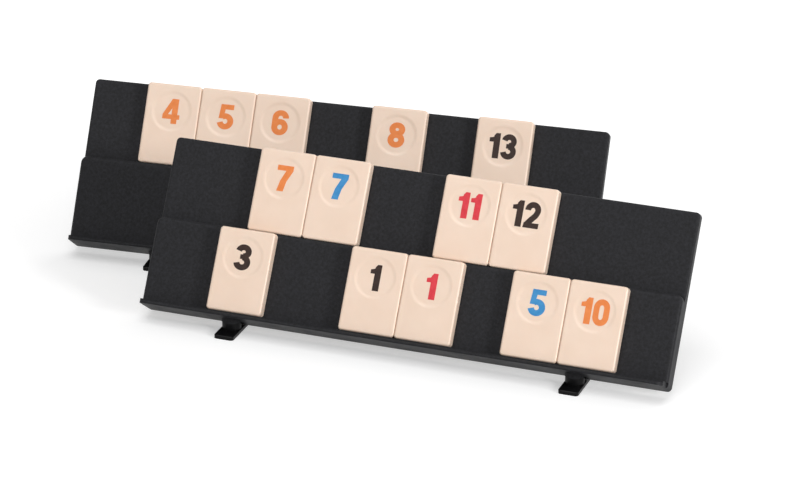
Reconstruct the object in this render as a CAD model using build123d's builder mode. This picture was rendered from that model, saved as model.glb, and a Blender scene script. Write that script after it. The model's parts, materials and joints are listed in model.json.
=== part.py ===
from build123d import *
import os
from math import cos, hypot, radians, sin

# Two equal two-tier tile racks of a rummy tile game, with fourteen tiles standing on them.
# The racks stand on the plane z = 0, one behind the other, and face -Y. The origin is on
# that plane, at the centre of the ground that the pair covers.
#
# A rack is one moulding: an upper panel, an upper ledge, a lower panel set forward by one
# tile, and a lower ledge with a rounded rim along its front, set off by a groove. It leans
# back, is hollow and ribbed behind, and is carried on two flat strips. Each strip has a hub
# that enters the underside, and turns on an upright pin to lie along the rack for packing.
#
# In a rack's section, u runs up the slope of the panels and n points out of them.
# Both are zero at the foot of the upper panel.

# ---- Tiles ----
tile_width = 26.2
tile_height = 38.0
tile_thickness = 4.8
tile_corner_radius = 1.8
tile_bevel = 1.0            # round the front of a tile
tile_gap = 0.1              # between two tiles that stand side by side
tile_seat = 0.05            # between a tile and the ledge and panel that carry it

# ---- Rack ----
rack_length = 246.8
rack_tilt = 60.0            # slope of the panels above the ground, in degrees
wall = 2.0
back_depth = 4.5            # open back behind the face of the upper panel
ledge_play = 0.4            # a ledge is this much deeper than a tile is thick
tier_play = 0.5             # the lower tier is this much taller than a tile
tile_proud = 0.3            # tiles on the upper tier stand this far above the panel
panel_edge_radius = 1.8     # top and ends of the lower panel
step_corner_radius = 3.0    # its top corners, seen from the front
ledge_depth = 4.6           # flat part of the lower ledge
groove_width = 0.9
groove_depth = 0.6          # below the top of the rim
groove_end = 2.6            # the groove stops this far inside the lower ledge
rim_width = 1.6
rim_height = 1.4
rim_drop = 0.8              # top of the rim, below the lower ledge
rim_radius = 0.65
underside_drop = 1.1        # of the underside, from the rim to the back
corner_radius = 2.0         # top and bottom corners of a rack, seen from the front
top_edge_radius = 1.2
ledge_inset = 0.9           # the lower ledge stops this far inside the ends
ledge_end_radius = 3.4      # its front corners, seen from above
rib_count = 7
rib_thickness = 1.6
rib_recess = 0.5            # ribs stop this far inside the open back

# ---- Feet and their pins ----
foot_width = 9.3
foot_thickness = 1.8
foot_spacing = 161.4        # between the pins of one rack
toe_arm = 10.7
heel_arm = 40.0
toe_corner_radius = 1.5
foot_edge_chamfer = 0.3
rack_clearance = 0.2        # between the lowest edge of a rack and its feet
hub_height = 3.3            # of the round hub on a foot, above the strip
hub_gap = 0.1               # between a hub and the rack's boss above it
pocket_gap = 0.3            # round a hub, where it enters the underside
housing_wall = 1.2          # of the block that closes a pocket, on either side of it
housing_height = 2.6        # of that block, above the wall that it stands on
pin_setback = 4.2           # axis of a pin, forward of the rack's lowest edge
boss_cover = 0.6            # from a boss's end up to the foot of the lower panel
bore_roof = 0.6
pin_diameter = 3.0
pin_play = 0.05             # around and under a pin
pin_end_gap = 0.2
pin_head_diameter = 6.0
pin_head_height = 0.7
head_side_gap = 0.3
head_recess = 0.15          # of a pin's head above the ground

# ---- Where the racks and the tiles stand ----
rear_shift_x = -62.7        # rear rack against the front one
rear_shift_y = 67.1
rear_turn = 5.35            # degrees, anticlockwise from above
# Each group of touching tiles: rack, tier, left edge from the rack's middle, faces.
tile_groups = [
    ("front", "lower", -90.8, ["3_black"]),
    ("front", "lower", -27.9, ["1_black", "1_red"]),
    ("front", "lower", 47.5, ["5_blue", "10_orange"]),
    ("front", "upper", -80.4, ["7_orange", "7_blue"]),
    ("front", "upper", 7.5, ["11_red", "12_black"]),
    ("rear", "upper", -96.1, ["4_orange", "5_orange", "6_orange"]),
    ("rear", "upper", 12.3, ["8_orange"]),
    ("rear", "upper", 62.6, ["13_black"]),
]

# ---- Worked out from the values above ----
half_length = rack_length / 2
ledge_length = rack_length - 2 * ledge_inset
tier_depth = tile_thickness + ledge_play
upper_top = tile_height - tile_proud
lower_ledge = -(tile_height + tier_play)
groove_back = tier_depth + ledge_depth
rim_back = groove_back + groove_width
rim_front = rim_back + rim_width
rim_top = lower_ledge - rim_drop
lip_bottom = rim_top - rim_height
underside_slope = underside_drop / (rim_front + back_depth)
lowest_u = lip_bottom - underside_drop

slope_cos = cos(radians(rack_tilt))
slope_sin = sin(radians(rack_tilt))
rack_edge_y = lowest_u * slope_cos + back_depth * slope_sin
step_z = foot_thickness + rack_clearance - lowest_u * slope_sin + back_depth * slope_cos
pivot_y = rack_edge_y - pin_setback
toe_y = pivot_y - toe_arm
foot_x = foot_spacing / 2

boss_radius = foot_width / 2
pocket_radius = boss_radius + pocket_gap
housing_width = 2 * (pocket_radius + housing_wall)
boss_top = step_z + lower_ledge * slope_sin + tier_depth * slope_cos - boss_cover
hub_top = foot_thickness + hub_height
boss_bottom = hub_top + hub_gap
bore_radius = pin_diameter / 2 + pin_play
bore_top = boss_top - bore_roof
head_top = head_recess + pin_head_height
counterbore_radius = pin_head_diameter / 2 + head_side_gap
counterbore_depth = head_top + pin_play

turn_cos = cos(radians(rear_turn))
turn_sin = sin(radians(rear_turn))
rack_back_y = upper_top * slope_cos + back_depth * slope_sin
rack_shoulder_y = rack_back_y - corner_radius * slope_cos
pair_left = rear_shift_x - half_length * turn_cos - rack_shoulder_y * turn_sin
pair_back = rear_shift_y + (half_length - corner_radius) * turn_sin + rack_back_y * turn_cos
front_x = -(pair_left + half_length) / 2
front_y = -(pair_back + toe_y) / 2

# A rack's stand is its own ground plane: x along the rack, y to the back, and the
# origin under the foot of the upper panel.
stands = {
    "front": Plane(Location((front_x, front_y, 0))),
    "rear": Plane(Location((front_x + rear_shift_x, front_y + rear_shift_y, 0), (0, 0, rear_turn))),
}


def slope_of(stand):
    """Face of the upper panel: x along the rack, y up the slope, z out of the face."""
    return Plane(stand * Location((0, 0, step_z), (rack_tilt, 0, 0)))


def section_at(stand, x):
    """Section plane across a rack at x: its axes are u and n, and it faces along +x."""
    return slope_of(stand) * Plane(origin=(x, 0, 0), x_dir=(0, 1, 0), z_dir=(1, 0, 0))


def level_at(stand, u):
    """Plane across the panels at height u up the slope: its axes are x and -n."""
    return slope_of(stand) * Plane(origin=(0, u, 0), x_dir=(1, 0, 0), z_dir=(0, 1, 0))


def along_underside(stand):
    """Plane square to the underside at its front edge: x along the rack, y into the rack."""
    front_edge = Plane(origin=(0, lip_bottom, rim_front), x_dir=(1, 0, 0), z_dir=(0, underside_slope, 1))
    return slope_of(stand) * front_edge


def underside(n):
    """Height u of the underside at depth n."""
    return lip_bottom - (rim_front - n) * underside_slope


def outer_points():
    """Outline of a rack's section, as (u, n), from the top of the back."""
    return [
        (upper_top, -back_depth),
        (upper_top, 0),
        (0, 0),
        (0, tier_depth),
        (lower_ledge, tier_depth),
        (lower_ledge, groove_back),
        (rim_top, groove_back),
        (rim_top, rim_front),
        (lip_bottom, rim_front),
        (lowest_u, -back_depth),
    ]


def inner_points(inset, back):
    """Outline of the hollow behind the panels, inset from the outside, open at n = back."""
    floor_rise = inset * hypot(1, underside_slope)
    front = tier_depth - inset
    return [
        (upper_top - inset, back),
        (upper_top - inset, -inset),
        (-inset, -inset),
        (-inset, front),
        (underside(front) + floor_rise, front),
        (underside(back) + floor_rise, back),
    ]


def housing_points():
    """Section of the block on the inside of the underside that closes a hub's pocket."""
    front = tier_depth - wall / 2
    back = rib_recess - back_depth
    top = wall * hypot(1, underside_slope) + housing_height
    return [
        (underside(front) + wall / 2, front),
        (underside(front) + top, front),
        (underside(back) + top, back),
        (underside(back) + wall / 2, back),
    ]


def end_cuts(stand):
    """Cuts that shape the ends below the lower panel: plane, front edge, reach, length, radius, depth."""
    ledge_reach = rim_front - tier_depth + panel_edge_radius
    ledge_depth_down = lower_ledge - lowest_u
    return (
        (along_underside(stand), 0, corner_radius, rack_length, corner_radius, 2 * rim_front),
        (level_at(stand, lower_ledge), -rim_front, ledge_reach, ledge_length, ledge_end_radius,
         ledge_depth_down),
    )


def make_rack_shell(stand):
    """One rack: panels, ledges, end walls, ribs and the two bosses for its feet."""
    slope = slope_of(stand)
    along_u = Axis(slope.origin, slope.y_dir)
    along_n = Axis(slope.origin, slope.z_dir)
    with BuildPart() as shell:
        with BuildSketch(section_at(stand, -half_length)) as section:
            with BuildLine():
                Polyline(*outer_points(), close=True)
            make_face()
            fillet(section.vertices().group_by(Axis.Y)[-1], rim_radius)
        extrude(amount=rack_length)

        # Rounded top corners, and a soft edge round the upper panel.
        fillet(shell.edges().filter_by(along_n).group_by(along_u)[-1], corner_radius)
        upper_panel = shell.faces().filter_by(along_n).group_by(along_n)[1].sort_by(SortBy.AREA)[-1]
        fillet(upper_panel.edges().sort_by(along_u)[1:], top_edge_radius)

        # Rounded top corners on the lower panel, and a softer edge round it.
        with BuildSketch(slope):
            Rectangle(rack_length, 2 * step_corner_radius)
            with Locations((0, -2 * step_corner_radius)):
                RectangleRounded(rack_length, 4 * step_corner_radius, step_corner_radius, mode=Mode.SUBTRACT)
        extrude(amount=tier_depth, mode=Mode.SUBTRACT)
        lower_panel = shell.faces().filter_by(along_n).group_by(along_n)[2].sort_by(SortBy.AREA)[-1]
        fillet(lower_panel.edges().sort_by(along_u)[1:], panel_edge_radius)

        # Rounded ends of the underside, and of the lower ledge, which stops short of them.
        for plane, edge, reach, length, radius, depth in end_cuts(stand):
            with BuildSketch(plane):
                with Locations((0, edge)):
                    Rectangle(rack_length, 2 * reach)
                with Locations((0, edge + 2 * reach)):
                    RectangleRounded(length, 4 * reach, radius, mode=Mode.SUBTRACT)
            extrude(amount=-depth, mode=Mode.SUBTRACT)

        # The groove behind the rim.
        with BuildSketch(level_at(stand, rim_top)):
            with Locations((0, -(groove_back + groove_width / 2))):
                SlotOverall(ledge_length - 2 * groove_end, groove_width)
        extrude(amount=-groove_depth, mode=Mode.SUBTRACT)

        # The hollow, and the ribs across it.
        with BuildSketch(section_at(stand, wall - half_length)):
            with BuildLine():
                Polyline(*inner_points(wall, -back_depth - wall), close=True)
            make_face()
        extrude(amount=rack_length - 2 * wall, mode=Mode.SUBTRACT)
        rib_pitch = (rack_length - wall) / (rib_count + 1)
        for rib in range(rib_count):
            rib_x = (rib + 1) * rib_pitch - (rack_length - wall) / 2
            with BuildSketch(section_at(stand, rib_x - rib_thickness / 2)):
                with BuildLine():
                    Polyline(*inner_points(wall / 2, rib_recess - back_depth), close=True)
                make_face()
            extrude(amount=rib_thickness)

        # Under each end, a housing with a pocket for a foot's hub, and the boss for its pin.
        for side in (-1, 1):
            with BuildSketch(section_at(stand, side * foot_x - housing_width / 2)):
                with BuildLine():
                    Polyline(*housing_points(), close=True)
                make_face()
            extrude(amount=housing_width)
        with BuildSketch(stand * Plane.XY.offset(boss_bottom)):
            with Locations((-foot_x, pivot_y), (foot_x, pivot_y)):
                Circle(pocket_radius)
        extrude(amount=-boss_bottom, mode=Mode.SUBTRACT)
        with BuildSketch(stand * Plane.XY.offset(boss_bottom)):
            with Locations((-foot_x, pivot_y), (foot_x, pivot_y)):
                Circle(boss_radius)
        extrude(amount=boss_top - boss_bottom)
        with BuildSketch(stand * Plane.XY.offset(boss_bottom)):
            with Locations((-foot_x, pivot_y), (foot_x, pivot_y)):
                Circle(bore_radius)
        extrude(amount=bore_top - boss_bottom, mode=Mode.SUBTRACT)
    return shell.part


def make_foot(stand, side):
    """A flat strip across the rack, with a near-square toe, a round heel and a hub."""
    middle = Location((side * foot_x, pivot_y, 0))
    with BuildPart() as foot:
        with BuildSketch(stand * middle) as outline:
            with Locations((0, (heel_arm - foot_width / 2 - toe_arm) / 2)):
                Rectangle(foot_width, heel_arm - foot_width / 2 + toe_arm)
            fillet(outline.vertices().group_by(Axis.Y)[0], toe_corner_radius)
            with Locations((0, heel_arm - foot_width / 2)):
                Circle(foot_width / 2)
        extrude(amount=foot_thickness)
        chamfer(foot.faces().sort_by(Axis.Z)[-1].edges(), foot_edge_chamfer)
        with BuildSketch(stand * middle):
            Circle(boss_radius - foot_edge_chamfer)
        extrude(amount=hub_top)
        with Locations(stand * middle * Location((0, 0, 0), (180, 0, 0))):
            CounterBoreHole(bore_radius, counterbore_radius, counterbore_depth, hub_top)
    return foot.part


def make_pin(stand, side):
    """A headed pin, pushed up through the foot into the rack's boss."""
    middle = Location((side * foot_x, pivot_y, head_recess))
    with BuildPart() as pin:
        with BuildSketch(stand * middle):
            Circle(pin_head_diameter / 2)
        extrude(amount=pin_head_height)
        with BuildSketch(stand * middle):
            Circle(pin_diameter / 2)
        extrude(amount=bore_top - pin_end_gap - head_recess)
    return pin.part


def make_tile(stand, tier, left):
    """A tile on its ledge, with round corners and a bevelled front."""
    foot_u = tile_seat if tier == "upper" else lower_ledge + tile_seat
    back_n = tile_seat if tier == "upper" else tier_depth + tile_seat
    middle_x = left + tile_width / 2
    slope = slope_of(stand)
    along_n = Axis(slope.origin, slope.z_dir)
    with BuildPart() as tile:
        with BuildSketch(slope * Location((middle_x, foot_u + tile_height / 2, back_n))) as face:
            Rectangle(tile_width, tile_height)
            fillet(face.vertices(), tile_corner_radius)
        extrude(amount=tile_thickness)
        chamfer(tile.edges().group_by(along_n)[-1], tile_bevel)
    return tile.part


def save(part, name):
    """Label a finished piece and write it under its own name."""
    part.label = name
    export_step(part, f"parts/{name}.step")


os.makedirs("parts", exist_ok=True)

for rack, stand in stands.items():
    save(make_rack_shell(stand), f"{rack}_rack_shell")
    for hand, side in (("left", -1), ("right", 1)):
        save(make_foot(stand, side), f"{rack}_{hand}_foot")
        save(make_pin(stand, side), f"{rack}_{hand}_foot_pin")

for rack, tier, group_left, faces in tile_groups:
    for place, face in enumerate(faces):
        tile_left = group_left + place * (tile_width + tile_gap)
        save(make_tile(stands[rack], tier, tile_left), f"tile_{rack}_{tier}_{face}")
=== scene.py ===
# %% [markdown]
# A pair of black two-tier tile racks with fourteen number tiles. The racks are plastic
# mouldings that lean back on flat swinging feet, and the tiles stand loose on their ledges.
# The measured solids come first and fix every size and place. All lengths are in metres.

# %% Load the measured frame
import bpy
import json
from math import cos, pi, radians, sin
from mathutils import Matrix, Vector
from mathutils.geometry import delaunay_2d_cdt


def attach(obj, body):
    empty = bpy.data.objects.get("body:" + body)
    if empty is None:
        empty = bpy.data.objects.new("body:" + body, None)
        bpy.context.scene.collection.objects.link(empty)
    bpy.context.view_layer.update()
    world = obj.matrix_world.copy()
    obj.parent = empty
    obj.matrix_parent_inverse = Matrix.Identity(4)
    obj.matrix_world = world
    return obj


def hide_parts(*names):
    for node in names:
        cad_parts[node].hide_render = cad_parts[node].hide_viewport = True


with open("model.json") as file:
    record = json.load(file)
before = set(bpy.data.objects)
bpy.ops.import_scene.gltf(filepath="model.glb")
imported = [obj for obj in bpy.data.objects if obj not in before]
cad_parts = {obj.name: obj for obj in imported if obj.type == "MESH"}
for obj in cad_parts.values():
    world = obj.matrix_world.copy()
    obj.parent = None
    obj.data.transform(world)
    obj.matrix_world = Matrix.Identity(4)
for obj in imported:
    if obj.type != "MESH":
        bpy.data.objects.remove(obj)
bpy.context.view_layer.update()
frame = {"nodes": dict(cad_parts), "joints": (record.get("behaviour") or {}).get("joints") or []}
MM = 0.001

# %% [markdown]
# Blender's shaders work in linear light, while a colour that is read off a screen is not
# linear, so one helper turns the second into the first. Another stretches a range of values
# into a new one, which is how a noise pattern becomes a tone, a gloss or a glow.

# %% Helpers for colours and ranges
def linear(red, green, blue):
    """A screen colour, 0 to 255, as the linear colour of a shader socket."""
    def channel(value):
        value /= 255
        return value / 12.92 if value <= 0.04045 else ((value + 0.055) / 1.055) ** 2.4
    return channel(red), channel(green), channel(blue), 1


def remap(tree, source, start, stop, low, high, curve="LINEAR"):
    """Turn the range from start to stop into the range from low to high."""
    node = tree.nodes.new("ShaderNodeMapRange")
    node.interpolation_type = curve
    tree.links.new(source, node.inputs["Value"])
    for socket, value in (("From Min", start), ("From Max", stop), ("To Min", low), ("To Max", high)):
        node.inputs[socket].default_value = value
    return node.outputs["Result"]


print("a screen grey of 128 is", round(linear(128, 128, 128)[0], 3), "in linear light")

# %% [markdown]
# Every finish is built from nodes that read Object coordinates, so that a pattern has the
# same scale on each piece and stays with it. A finish is one Principled shader. Noise of a
# given grain may move its colour between two tones, vary its roughness or raise its surface.

# %% A helper for finishes
noise_low, noise_high = 0.3, 0.7        # most of a noise lies between these


class Finish:
    """A material with one Principled shader and a few quick ways to add to it."""

    def __init__(self, name, **sockets):
        self.material = bpy.data.materials.new(name)
        self.material.use_nodes = True
        self.tree = self.material.node_tree
        self.shader = self.tree.nodes["Principled BSDF"]
        for socket, value in sockets.items():
            self.shader.inputs[socket.replace("_", " ")].default_value = value
        self.place = self.tree.nodes.new("ShaderNodeTexCoord").outputs["Object"]

    def noise(self, grain, detail=2.0, roughness=0.5):
        """Soft noise whose grain is the given length in metres."""
        node = self.tree.nodes.new("ShaderNodeTexNoise")
        self.tree.links.new(self.place, node.inputs["Vector"])
        node.inputs["Scale"].default_value = 1 / grain
        node.inputs["Detail"].default_value = detail
        node.inputs["Roughness"].default_value = roughness
        return node.outputs["Fac"]

    def two_tone(self, noise, first, second, start=noise_low, stop=noise_high):
        """Colour the surface between two close tones."""
        node = self.tree.nodes.new("ShaderNodeMix")
        node.data_type = "RGBA"
        self.tree.links.new(remap(self.tree, noise, start, stop, 0, 1), node.inputs["Factor"])
        node.inputs["A"].default_value = first
        node.inputs["B"].default_value = second
        self.tree.links.new(node.outputs["Result"], self.shader.inputs["Base Color"])

    def patchy_gloss(self, noise, low, high):
        """Let the roughness wander between two values."""
        roughness = remap(self.tree, noise, noise_low, noise_high, low, high)
        self.tree.links.new(roughness, self.shader.inputs["Roughness"])

    def relief(self, noise, depth, strength, below=None):
        """Raise the surface by a noise, given the depth in metres."""
        node = self.tree.nodes.new("ShaderNodeBump")
        self.tree.links.new(noise, node.inputs["Height"])
        node.inputs["Distance"].default_value = depth
        node.inputs["Strength"].default_value = strength
        if below is not None:
            self.tree.links.new(below, node.inputs["Normal"])
        self.tree.links.new(node.outputs["Normal"], self.shader.inputs["Normal"])
        return node.outputs["Normal"]


print("finish helper", [name for name in vars(Finish) if not name.startswith("_")])

# %% [markdown]
# The racks are injection moulded in black polystyrene from a mould with a fine spark
# texture. Up close the surface is a mass of tiny rounded pits that spread the light, so the
# black looks dark grey and its highlights are wide and soft. Two sizes of noise make the
# pits, a third mottles the tone, and a much larger one varies the gloss as handling does.

# %% Finish of the racks
mottle, coarse_pit, fine_pit, handled_patch = 1.3 * MM, 0.9 * MM, 0.3 * MM, 14 * MM
rack_finish = Finish("rack_textured_black", Specular_IOR_Level=0.05)
rack_finish.two_tone(rack_finish.noise(mottle, detail=4.0, roughness=0.7),
                     linear(40, 40, 41), linear(50, 50, 53), start=0.35, stop=0.65)
rack_finish.patchy_gloss(rack_finish.noise(handled_patch), 0.38, 0.5)
coarse_pits = rack_finish.relief(rack_finish.noise(coarse_pit, detail=3.0, roughness=0.6),
                                 depth=0.05 * MM, strength=0.9)
rack_finish.relief(rack_finish.noise(fine_pit), depth=0.015 * MM, strength=0.8, below=coarse_pits)
print("rack finish", len(rack_finish.tree.nodes), "nodes")

# %% [markdown]
# The swinging feet and their pins come from a smoother mould. They are a deeper black with
# a low satin sheen and only faint flow marks.

# %% Finish of the feet and pins
flow_mark, foot_ripple, pin_patch, pin_ripple = 6 * MM, 0.5 * MM, 2 * MM, 0.4 * MM
foot_finish = Finish("foot_satin_black", Roughness=0.34, Specular_IOR_Level=0.12)
foot_finish.two_tone(foot_finish.noise(flow_mark), linear(13, 13, 14), linear(18, 18, 19))
foot_finish.relief(foot_finish.noise(foot_ripple), depth=0.01 * MM, strength=0.6)
pin_finish = Finish("pin_satin_black", Base_Color=linear(20, 20, 21))
pin_finish.patchy_gloss(pin_finish.noise(pin_patch), 0.36, 0.5)
pin_finish.relief(pin_finish.noise(pin_ripple), depth=0.01 * MM, strength=0.6)
print("finishes below the racks", foot_finish.material.name, pin_finish.material.name)

# %% [markdown]
# The tiles are warm cream melamine. They are dense and slightly waxy, so a little light goes
# under the surface, red the deepest. The surface is a smooth satin, and the colour has a
# barely visible cloudiness.

# %% Finish of the tiles
cloud, worn_patch, tile_ripple, waxy_depth = 12 * MM, 5 * MM, 1.6 * MM, 1.5 * MM
tile_finish = Finish("tile_warm_cream", Subsurface_Weight=0.06, Subsurface_Scale=waxy_depth,
                     Subsurface_Radius=(1.0, 0.6, 0.4))
tile_finish.two_tone(tile_finish.noise(cloud, detail=3.0), linear(244, 219, 199), linear(240, 214, 193))
tile_finish.patchy_gloss(tile_finish.noise(worn_patch), 0.3, 0.4)
tile_finish.relief(tile_finish.noise(tile_ripple), depth=0.008 * MM, strength=0.5)
print("tile finish", len(tile_finish.tree.nodes), "nodes")

# %% [markdown]
# The numbers are a thick coat of paint in four colours. Paint pools unevenly, so each
# colour drifts between two close tones and its surface is softly uneven.

# %% Paints of the numbers
pool, paint_ripple = 2.2 * MM, 0.7 * MM
paint_tones = {
    "orange": ((239, 143, 82), (232, 132, 70)),
    "blue": ((74, 150, 205), (58, 136, 194)),
    "red": ((228, 72, 82), (214, 60, 70)),
    "black": ((60, 44, 38), (46, 34, 30)),
}
paints = {}
for colour, (light_tone, dark_tone) in paint_tones.items():
    paint = Finish(f"number_paint_{colour}", Roughness=0.45, Specular_IOR_Level=0.2)
    paint.two_tone(paint.noise(pool, detail=3.0), linear(*light_tone), linear(*dark_tone))
    paint.relief(paint.noise(paint_ripple), depth=0.012 * MM, strength=0.6)
    paints[colour] = paint.material
print("paints", ", ".join(paints))

# %% [markdown]
# The racks, feet and pins keep their measured shapes and only take their finishes. Each
# solid's own material slots are filled, and the mesh itself isn't touched.

# %% Dress the solids
finish_by_ending = {"_rack_shell": rack_finish, "_foot": foot_finish, "_pin": pin_finish}
dressed = []
for name, solid in frame["nodes"].items():
    for ending, finish in finish_by_ending.items():
        if name.endswith(ending):
            for slot in solid.material_slots:
                slot.material = finish.material
            dressed.append(name)
print("dressed", len(dressed), "solids")

# %% [markdown]
# All tiles are pressed in the same mould, so one rule makes them, and a Geometry Nodes tree
# keeps that rule and its sizes in one place. This helper makes such a tree short to write.
# Each kind of node used here gives its result on its first output.

# %% A helper for Geometry Nodes
class Tree:
    """A Geometry Nodes tree with named inputs and short ways to add nodes."""

    def __init__(self, name):
        self.group = bpy.data.node_groups.new(name, "GeometryNodeTree")
        self.group.interface.new_socket("Geometry", in_out="OUTPUT", socket_type="NodeSocketGeometry")
        self.sockets = {}
        self.start = self.group.nodes.new("NodeGroupInput")
        self.end = self.group.nodes.new("NodeGroupOutput")

    def size(self, name):
        """A named length that the modifier sets."""
        socket = self.group.interface.new_socket(name, in_out="INPUT", socket_type="NodeSocketFloat")
        self.sockets[name] = socket.identifier
        return self.start.outputs[name]

    def feed(self, socket, value):
        """Link a socket to another node's output, or give it a plain value."""
        if isinstance(value, bpy.types.NodeSocket):
            self.group.links.new(value, socket)
        else:
            socket.default_value = value

    def node(self, kind, mode=None, **inputs):
        """Add a node, in one of its modes, with these inputs."""
        node = self.group.nodes.new(kind)
        if mode:
            node.mode = mode
        for name, value in inputs.items():
            self.feed(node.inputs[name.replace("_", " ")], value)
        return node.outputs[0]

    def calculate(self, operation, first, second):
        """One step of arithmetic on two lengths or numbers."""
        node = self.group.nodes.new("ShaderNodeMath")
        node.operation = operation
        self.feed(node.inputs[0], first)
        self.feed(node.inputs[1], second)
        return node.outputs[0]

    def less(self, first, second):
        """The first length without the second."""
        return self.calculate("SUBTRACT", first, second)

    def times(self, first, second):
        """A length some number of times over."""
        return self.calculate("MULTIPLY", first, second)

    def point(self, x=0.0, y=0.0, z=0.0):
        """A place made from lengths."""
        return self.node("ShaderNodeCombineXYZ", X=x, Y=y, Z=z)


print("tree helper", [name for name in vars(Tree) if not name.startswith("_")])

# %% [markdown]
# Shapes are moved, joined and swept inside the tree. The modifier that runs it is only a
# tool: the evaluated result is taken as a plain mesh, and the modifier goes with its holder.

# %% A helper for the shapes of a tree
smooth_weight = 100         # how strongly large faces set the shading of their corners


class ShapeTree(Tree):
    """A Geometry Nodes tree that makes a mesh."""

    def moved(self, geometry, x=0.0, y=0.0, z=0.0):
        """A shape in another place."""
        return self.node("GeometryNodeTransform", Geometry=geometry, Translation=self.point(x, y, z))

    def joined(self, *geometries):
        """Several shapes as one."""
        node = self.group.nodes.new("GeometryNodeJoinGeometry")
        for geometry in geometries:
            self.group.links.new(geometry, node.inputs["Geometry"])
        return node.outputs[0]

    def swept(self, path, profile):
        """A profile swept round a flat path. Its x points outwards, and its y down."""
        level = self.node("GeometryNodeSetCurveNormal", "Z_UP", Curve=path)
        return self.node("GeometryNodeCurveToMesh", Curve=level, Profile_Curve=profile)

    def mesh(self, sizes, material, name):
        """Run the tree with these sizes and bring back a plain mesh."""
        holder = bpy.data.objects.new(name, bpy.data.meshes.new(name))
        bpy.context.scene.collection.objects.link(holder)
        modifier = holder.modifiers.new("rule", "NODES")
        modifier.node_group = self.group
        for key, value in sizes.items():
            modifier[self.sockets[key]] = value
        holder.modifiers.new("even shading", "WEIGHTED_NORMAL").weight = smooth_weight
        evaluated = holder.evaluated_get(bpy.context.evaluated_depsgraph_get())
        mesh = bpy.data.meshes.new_from_object(evaluated)
        bpy.data.objects.remove(holder)
        mesh.materials.clear()
        mesh.materials.append(material)
        return mesh


print("shape helper", [name for name in vars(ShapeTree) if not name.startswith("_")])

# %% [markdown]
# A tile is a rounded rectangle with an edge profile swept round it, and a shallow round dish
# in its face for the number. It lies on its back with its foot on the x axis, so that its
# own z axis comes out of its face. First come the named sizes and the flat part of a face,
# which is the rectangle less the rounding of its edges.

# %% Sizes and flat of a tile
corner_steps = 7
rule = ShapeTree("moulded_tile")
width, height, thickness = (rule.size(n) for n in ("Width", "Height", "Thickness"))
corner, edge, back_edge = (rule.size(n) for n in ("Corner Radius", "Edge Radius", "Back Radius"))
dish_radius, dish_depth = rule.size("Dish Radius"), rule.size("Dish Depth")
dish_drop, dish_slope = rule.size("Dish Drop"), rule.size("Dish Slope")

both_edges = rule.times(edge, 2.0)
flat = rule.node("GeometryNodeCurvePrimitiveQuadrilateral", Width=rule.less(width, both_edges),
                 Height=rule.less(height, both_edges))
flat = rule.node("GeometryNodeFilletCurve", "POLY", Curve=flat, Count=corner_steps,
                 Radius=rule.less(corner, edge))
flat = rule.moved(flat, y=rule.calculate("DIVIDE", height, 2.0))
print("named sizes", ", ".join(rule.sockets))

# %% [markdown]
# The edge profile runs from the face, round the generous front edge, down the side and round
# the sharper back edge, to the flat of the back.

# %% Edge of a tile
front_steps, back_steps = 9, 5
shoulder = rule.less(edge, thickness)
back_inset = rule.less(edge, back_edge)
side_end = rule.times(back_edge, -1.0)
front_arc = rule.node("GeometryNodeCurveArc", "RADIUS", Resolution=front_steps, Radius=edge,
                      Start_Angle=-pi / 2, Sweep_Angle=pi / 2)
side_line = rule.node("GeometryNodeCurvePrimitiveLine", Start=rule.point(edge, shoulder),
                      End=rule.point(edge, side_end))
back_arc = rule.node("GeometryNodeCurveArc", "RADIUS", Resolution=back_steps, Radius=back_edge,
                     Start_Angle=0.0, Sweep_Angle=pi / 2)
back_line = rule.node("GeometryNodeCurvePrimitiveLine", Start=rule.point(back_inset), End=rule.point())
edge_profile = rule.joined(rule.moved(front_arc, y=shoulder), side_line,
                           rule.moved(back_arc, x=back_inset, y=side_end), back_line)
rim = rule.swept(flat, edge_profile)
print("edge profile", front_steps + back_steps, "points on its arcs")

# %% [markdown]
# The dish is pressed into the face. Its wall is a soft S that leaves the face and meets the
# floor of the dish without a crease, so only a faint ring shows round the number.

# %% Dish of a tile
dish_points, slope_steps = 72, 10
handle_out, handle_in = 0.45, 0.55      # of the way down the slope, where the S bends


def dish_circle(radius):
    """A circle round the middle of the dish, on the tile's back."""
    ring_curve = rule.node("GeometryNodeCurvePrimitiveCircle", Resolution=dish_points, Radius=radius)
    return rule.moved(ring_curve, y=rule.less(height, dish_drop))


slope_in = rule.times(dish_slope, -1.0)
dish_profile = rule.node(
    "GeometryNodeCurvePrimitiveBezierSegment", "POSITION", Resolution=slope_steps,
    Start=rule.point(), Start_Handle=rule.point(rule.times(slope_in, handle_out)),
    End_Handle=rule.point(rule.times(slope_in, handle_in), dish_depth),
    End=rule.point(slope_in, dish_depth))
dish_ring = dish_circle(dish_radius)
dish_wall = rule.node("GeometryNodeFlipFaces", Mesh=rule.swept(dish_ring, dish_profile))
dish_wall = rule.moved(dish_wall, z=thickness)
floor_ring = dish_circle(rule.less(dish_radius, dish_slope))
dish_floor = rule.node("GeometryNodeFillCurve", "NGONS", Curve=floor_ring)
dish_floor = rule.moved(dish_floor, z=rule.less(thickness, dish_depth))
print("dish", dish_points, "points round,", slope_steps, "steps down its slope")

# %% [markdown]
# The face is what lies between the flat outline and the ring of the dish, and the back is
# plain. All parts meet point to point, so merging their shared points closes the tile.

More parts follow.
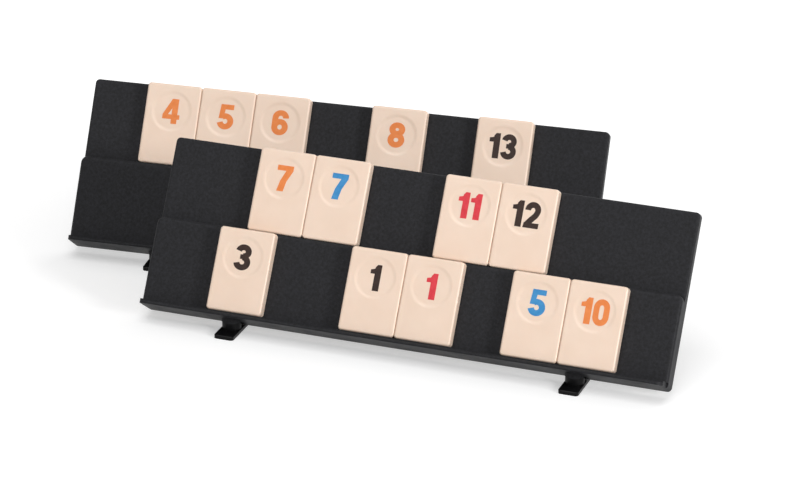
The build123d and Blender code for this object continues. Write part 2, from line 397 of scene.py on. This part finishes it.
# %% Close the tile
weld = 0.001 * MM
face = rule.node("GeometryNodeFillCurve", "TRIANGLES", Curve=rule.joined(flat, dish_ring))
face = rule.moved(face, z=thickness)
back = rule.node("GeometryNodeFillCurve", "NGONS", Curve=flat)
back = rule.node("GeometryNodeFlipFaces", Mesh=back)
tile = rule.joined(rim, dish_wall, dish_floor, face, back)
tile = rule.node("GeometryNodeMergeByDistance", Geometry=tile, Distance=weld)
tile = rule.node("GeometryNodeSetShadeSmooth", Geometry=tile)
tile = rule.node("GeometryNodeRealizeInstances", Geometry=tile)
tile = rule.node("GeometryNodeSetMaterial", Geometry=tile, Material=tile_finish.material)
rule.feed(rule.end.inputs["Geometry"], tile)
print("tile rule", len(rule.group.nodes), "nodes")

# %% [markdown]
# The width, height and thickness are those of the measured tiles. The front edge is rounded
# where the solids have a plain bevel, and the dish takes a number with some room round it.

# %% Press one tile
tile_sizes = {
    "Width": 26.2 * MM, "Height": 38.0 * MM, "Thickness": 4.8 * MM, "Corner Radius": 1.5 * MM,
    "Edge Radius": 1.0 * MM, "Back Radius": 0.5 * MM, "Dish Radius": 10.2 * MM,
    "Dish Depth": 0.26 * MM, "Dish Slope": 2.4 * MM, "Dish Drop": 12.8 * MM,
}
tile_mesh = rule.mesh(tile_sizes, tile_finish.material, "pressed_tile")
print("tile", len(tile_mesh.polygons), "faces",
      [round(max(v.co[i] for v in tile_mesh.vertices) / MM, 2) for i in range(3)])

# %% [markdown]
# The numbers are plain heavy figures of one stroke width, set in the middle of the dish.
# Each figure is laid out by a few bars and bent strokes in a box one unit tall, with its
# foot at 0. A bent stroke follows a line of points, most of them on arcs.

# %% Helpers for figures
stroke_width = 0.225        # of the height of a figure
arc_steps, ring_steps = 18, 35


def arc(x, y, radius_x, radius_y, start, stop, steps=arc_steps):
    """Points on an arc, from one angle in degrees to another."""
    turns = [radians(start + (stop - start) * i / steps) for i in range(steps + 1)]
    return [(x + radius_x * cos(a), y + radius_y * sin(a)) for a in turns]


def bent_stroke(points, closed=False):
    """The four-sided pieces of a stroke of even width along a line of points."""
    count = len(points)
    left, right = [], []
    for i, (x, y) in enumerate(points):
        before = points[i - 1] if i > 0 or closed else points[i]
        after = points[(i + 1) % count] if i < count - 1 or closed else points[i]
        along = (Vector(after) - Vector(before)).normalized()
        across = Vector((-along.y, along.x)) * stroke_width / 2
        left.append((x + across.x, y + across.y))
        right.append((x - across.x, y - across.y))
    spans = range(count if closed else count - 1)
    return [(left[i], left[(i + 1) % count], right[(i + 1) % count], right[i]) for i in spans]


def ring(x, y, radius_x, radius_y):
    """A closed round stroke, whose last span joins its end to its start."""
    last = 360 * ring_steps / (ring_steps + 1)
    return bent_stroke(arc(x, y, radius_x, radius_y, 0, last, ring_steps), closed=True)


print("pieces of a ring", len(ring(0, 0, 1, 1)))

# %% [markdown]
# The table gives each figure's breadth and its pieces. Where pieces cross, they will be
# welded, so they may overlap freely. A bar is a piece with its corners given one by one.

# %% Figures
figures = {
    "0": (0.62, bent_stroke(arc(0.31, 0.66, 0.197, 0.228, 0, 180)
                            + arc(0.31, 0.34, 0.197, 0.228, 180, 360), closed=True)),
    "1": (0.44, [((0.42, 0), (0.42, 1), (0.25, 1), (0.17, 0.9), (0.17, 0)),
                 ((0.25, 1), (0.215, 0.9), (0.14, 0.83), (0.0, 0.80), (0.0, 0.645),
                  (0.18, 0.645), (0.3, 0.8))]),
    "2": (0.62, bent_stroke(arc(0.31, 0.685, 0.195, 0.203, 184, -25)
                            + [(0.44, 0.49), (0.27, 0.30), (0.13, 0.12)])
          + [((0.005, 0), (0.61, 0), (0.61, 0.2), (0.03, 0.2))]),
    "3": (0.62, bent_stroke(arc(0.3, 0.715, 0.185, 0.173, 172, -90))
          + bent_stroke(arc(0.3, 0.307, 0.2, 0.195, 90, -172))
          + [((0.2, 0.43), (0.36, 0.43), (0.36, 0.61), (0.2, 0.61))]),
    "4": (0.66, [((0.34, 0), (0.56, 0), (0.56, 1), (0.34, 1)),
                 ((0.0, 0.185), (0.65, 0.185), (0.65, 0.37), (0.0, 0.37)),
                 ((0.0, 0.36), (0.185, 0.33), (0.47, 0.88), (0.45, 1), (0.31, 1))]),
    "5": (0.62, bent_stroke(arc(0.305, 0.322, 0.2, 0.212, 128, -168))
          + [((0.09, 0.8), (0.58, 0.8), (0.58, 1), (0.09, 1)),
             ((0.045, 0.43), (0.23, 0.43), (0.29, 1), (0.09, 1))]),
    "6": (0.62, ring(0.31, 0.325, 0.197, 0.212)
          + bent_stroke(arc(0.31, 0.69, 0.197, 0.2, 0, 180) + [(0.113, 0.325)])),
    "7": (0.60, [((0.0, 0.8), (0.6, 0.8), (0.6, 1), (0.0, 1)),
                 ((0.345, 0.82), (0.6, 0.82), (0.41, 0.4), (0.335, 0.0), (0.09, 0.0), (0.17, 0.4))]),
    "8": (0.62, ring(0.31, 0.722, 0.18, 0.168) + ring(0.31, 0.307, 0.2, 0.195)),
}
print("figures", " ".join(sorted(figures)))

# %% [markdown]
# The figures of a number stand side by side, about its middle. A single figure is cut a
# little broader than one of a pair, except the narrow 1.

# %% Lay out a number
figure_gap = 0.045          # of the height of a figure
single_breadth = 1.08


def anticlockwise(piece):
    """The corners of a piece, in the order that goes round it anticlockwise."""
    area = sum(a[0] * b[1] - b[0] * a[1] for a, b in zip(piece, piece[1:] + piece[:1]))
    return piece if area > 0 else piece[::-1]


def number_pieces(number, tall):
    """The pieces of a number that is centred on the origin, each as a list of its corners."""
    broad = single_breadth if len(number) == 1 and number != "1" else 1.0
    left = -(sum(figures[f][0] for f in number) + figure_gap * (len(number) - 1)) / 2
    pieces = []
    for figure in number:
        breadth, parts = figures[figure]
        for part in parts:
            pieces.append([Vector(((left + x) * broad * tall, (y - 0.5) * tall))
                           for x, y in anticlockwise(part)])
        left += breadth + figure_gap
    return pieces


print("pieces of a 10", len(number_pieces("10", 1.0)))

# %% [markdown]
# A flat triangulation welds all pieces of a number into one outline. It fills the hull round
# them, and a triangle that lies in no piece is left out. The flat shape is laid down twice,
# a coat of paint apart. A side of a triangle that no other triangle shares is on the outline,
# and a wall joins the two layers there.

# %% Paint a number
same_point = 1e-7
hull_triangles = 0          # the kind of result asked of the triangulation


def number_mesh(number, tall, coat, material):
    """A number as a coat of paint that lies on z = 0."""
    corners, faces = [], []
    for piece in number_pieces(number, tall):
        faces.append(list(range(len(corners), len(corners) + len(piece))))
        corners += piece
    welded = delaunay_2d_cdt(corners, [], faces, hull_triangles, same_point)
    points, _, triangles, _, _, sources = welded
    inside = [triangle for triangle, source in zip(triangles, sources) if source]
    sides = {side for a, b, c in inside for side in ((a, b), (b, c), (c, a))}
    outline = sorted((a, b) for a, b in sides if (b, a) not in sides)
    layer = len(points)     # from a point to the one above it
    under = [(c, b, a) for a, b, c in inside]
    over = [(a + layer, b + layer, c + layer) for a, b, c in inside]
    walls = [(a, b, b + layer, a + layer) for a, b in outline]
    mesh = bpy.data.meshes.new(f"number_{number}")
    mesh.from_pydata([(p.x, p.y, z) for z in (0, coat) for p in points], [], under + over + walls)
    mesh.materials.append(material)
    return mesh


number_height = 11.8 * MM
paint_coat = 0.05 * MM
print("numbers are", round(number_height / MM, 1), "mm tall")

# %% [markdown]
# Each tile has a place in the measured solids. Its joint gives the way up the slope, and the
# solid's own corners give its left side, its foot and its back.

# %% Find the tiles' places
rise = {joint["child"]: Vector(joint["axis"]).normalized() for joint in frame["joints"]}


def seat_of(node):
    """The tile's own axes and origin at the middle of the foot of its back."""
    up = rise[node]
    along = up.cross(Vector((0, 0, 1))).normalized()
    out = along.cross(up)
    corners = [v.co for v in frame["nodes"][node].data.vertices]
    spans = [(min(c.dot(a) for c in corners), max(c.dot(a) for c in corners)) for a in (along, up, out)]
    seat = Matrix((along, up, out)).transposed().to_4x4()
    seat.translation = along * sum(spans[0]) / 2 + up * spans[1][0] + out * spans[2][0]
    return seat


tiles = [name for name in frame["nodes"] if name.startswith("tile_")]
print("the first tile's foot is at", [round(c, 4) for c in seat_of(tiles[0]).translation])

# %% [markdown]
# A copy of the pressed tile goes to each place, with its number in the dish, and both move
# with that tile's body. The pressed tile is shown instead of the measured one.

# %% Set the tiles and numbers in place
def show(name, mesh, body):
    """Put a finished mesh in the scene, moving with one body."""
    piece = bpy.data.objects.new(name, mesh)
    bpy.context.scene.collection.objects.link(piece)
    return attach(piece, body)


dish_centre = (0, tile_sizes["Height"] - tile_sizes["Dish Drop"],
               tile_sizes["Thickness"] - tile_sizes["Dish Depth"])
for name in tiles:
    number, colour = name.split("_")[-2:]
    seat = seat_of(name)
    mesh = tile_mesh.copy()
    mesh.transform(seat)
    piece = show(name + "_pressed", mesh, name)
    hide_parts(name)
    mesh = number_mesh(number, number_height, paint_coat, paints[colour])
    mesh.transform(seat @ Matrix.Translation(dish_centre))
    show(name + "_number", mesh, name)
print("tiles set", len(tiles))

# %% [markdown]
# A white background shouldn't light the racks as strongly as it shows. Light Path tells apart
# the rays that show it, to the camera or in a gloss, from those that light things, so each
# kind can meet its own brightness.

# %% A helper for white backgrounds
def shown(tree):
    """A value that is 1 for rays that show the background, and 0 for rays that light things."""
    rays = tree.nodes.new("ShaderNodeLightPath")
    value = rays.outputs["Is Camera Ray"]
    for other in ("Is Glossy Ray", "Is Transmission Ray"):
        either = tree.nodes.new("ShaderNodeMath")
        either.operation = "MAXIMUM"
        tree.links.new(value, either.inputs[0])
        tree.links.new(rays.outputs[other], either.inputs[1])
        value = either.outputs["Value"]
    return value


white = (1, 1, 1, 1)
print("background colour", white)

# %% [markdown]
# The floor is one pale sheet that runs under everything. Where it shows it glows a little, so that it
# reads as plain white, and it still takes the soft shadow of the racks. Its glow is weaker near the
# racks and rises further out. That is painted shade: the floor round the racks shows darker, and so
# does its reflection in the racks' undersides.

# %% Floor
floor_grey, floor_roughness = (0.7, 0.7, 0.7, 1), 0.9
glow_start, glow_stop = 0.1, 0.45       # from the middle of the racks
near_glow_with_painted_shade, far_glow = 0.42, 0.72
floor_reach = 6.0
floor_material = bpy.data.materials.new("pale_floor")
floor_material.use_nodes = True
floor_tree = floor_material.node_tree
floor_shader = floor_tree.nodes["Principled BSDF"]
floor_shader.inputs["Base Color"].default_value = floor_grey
floor_shader.inputs["Roughness"].default_value = floor_roughness
floor_shader.inputs["Emission Color"].default_value = white
away = floor_tree.nodes.new("ShaderNodeVectorMath")
away.operation = "LENGTH"
floor_tree.links.new(floor_tree.nodes.new("ShaderNodeTexCoord").outputs["Object"], away.inputs[0])
# Less glow near the racks than further out paints shade on the floor round them, seen directly and in
# the racks' gloss.
glow_with_painted_shade_near = remap(floor_tree, away.outputs["Value"], glow_start, glow_stop, near_glow_with_painted_shade, far_glow,
                    "SMOOTHSTEP")
glow = floor_tree.nodes.new("ShaderNodeMath")
glow.operation = "MULTIPLY"
floor_tree.links.new(shown(floor_tree), glow.inputs[0])
floor_tree.links.new(glow_with_painted_shade_near, glow.inputs[1])
floor_tree.links.new(glow.outputs["Value"], floor_shader.inputs["Emission Strength"])

floor_mesh = bpy.data.meshes.new("floor")
floor_corners = [(x * floor_reach, y * floor_reach, 0) for x, y in ((-1, -1), (1, -1), (1, 1), (-1, 1))]
floor_mesh.from_pydata(floor_corners, [], [(0, 1, 2, 3)])
floor_mesh.materials.append(floor_material)
floor = bpy.data.objects.new("floor", floor_mesh)
bpy.context.scene.collection.objects.link(floor)
print("floor", 2 * floor_reach, "m square")

# %% [markdown]
# The same white stands behind the floor, in the world, which lights the racks from all round
# with a third of the brightness that it shows.

# %% World
world_light, world_shown = 0.34, 1.0
world = bpy.data.worlds.new("studio")
bpy.context.scene.world = world
world.use_nodes = True
background = world.node_tree.nodes["Background"]
background.inputs["Color"].default_value = white
strength = remap(world.node_tree, shown(world.node_tree), 0, 1, world_light, world_shown, "SMOOTHSTEP")
world.node_tree.links.new(strength, background.inputs["Strength"])
print("world lights with", world_light, "and shows", world_shown)

# %% [markdown]
# Three large square lamps give a plain soft studio light. The one overhead does most of the
# work, the one far to the right draws a line of light down the right-hand edges, and a weak
# one behind lifts the top edges. Each entry is a place, a size in metres and a power in watts.

# %% Lamps
lamps = {
    "overhead": ((-0.05, -0.6, 1.25), 0.9, 7.8),
    "right": ((2.0, -0.85, 0.75), 0.45, 26.0),
    "behind": ((0.35, 1.3, 0.75), 0.8, 5.0),
}
middle_of_racks = Vector((0, 0, 40 * MM))
for name, (place, size, power) in lamps.items():
    light = bpy.data.lights.new(name, "AREA")
    light.shape = "SQUARE"
    light.size = size
    light.energy = power
    lamp = bpy.data.objects.new(name, light)
    bpy.context.scene.collection.objects.link(lamp)
    lamp.location = place
    lamp.rotation_euler = (middle_of_racks - Vector(place)).to_track_quat("-Z", "Y").to_euler()
print("lamps", ", ".join(lamps))

# %% [markdown]
# The camera stands a long way off with a long lens, a little to the right and above, which
# keeps the long racks nearly free of perspective. It is turned a degree about its own line
# of sight. The lens is in millimetres, for Blender's usual sensor, 36 mm wide.

# %% Camera
azimuth, elevation, roll = radians(19.021), radians(22.801), radians(1.004)
distance, lens = 1829.507 * MM, 185.048
target = Vector((23.409, -34.583, 45.166)) * MM
towards = Vector((sin(azimuth) * cos(elevation), -cos(azimuth) * cos(elevation), sin(elevation)))
side = (-towards).cross(Vector((0, 0, 1))).normalized()
upright = side.cross(-towards)
camera = bpy.data.objects.new("camera", bpy.data.cameras.new("camera"))
bpy.context.scene.collection.objects.link(camera)
camera.data.lens = lens
view = Matrix((cos(roll) * side + sin(roll) * upright, -sin(roll) * side + cos(roll) * upright,
               towards)).transposed().to_4x4()
view.translation = target + distance * towards
camera.matrix_world = view
bpy.context.scene.camera = camera
bpy.context.scene.view_settings.view_transform = "Standard"
print("camera at", [round(c, 3) for c in view.translation])

# %% [markdown]
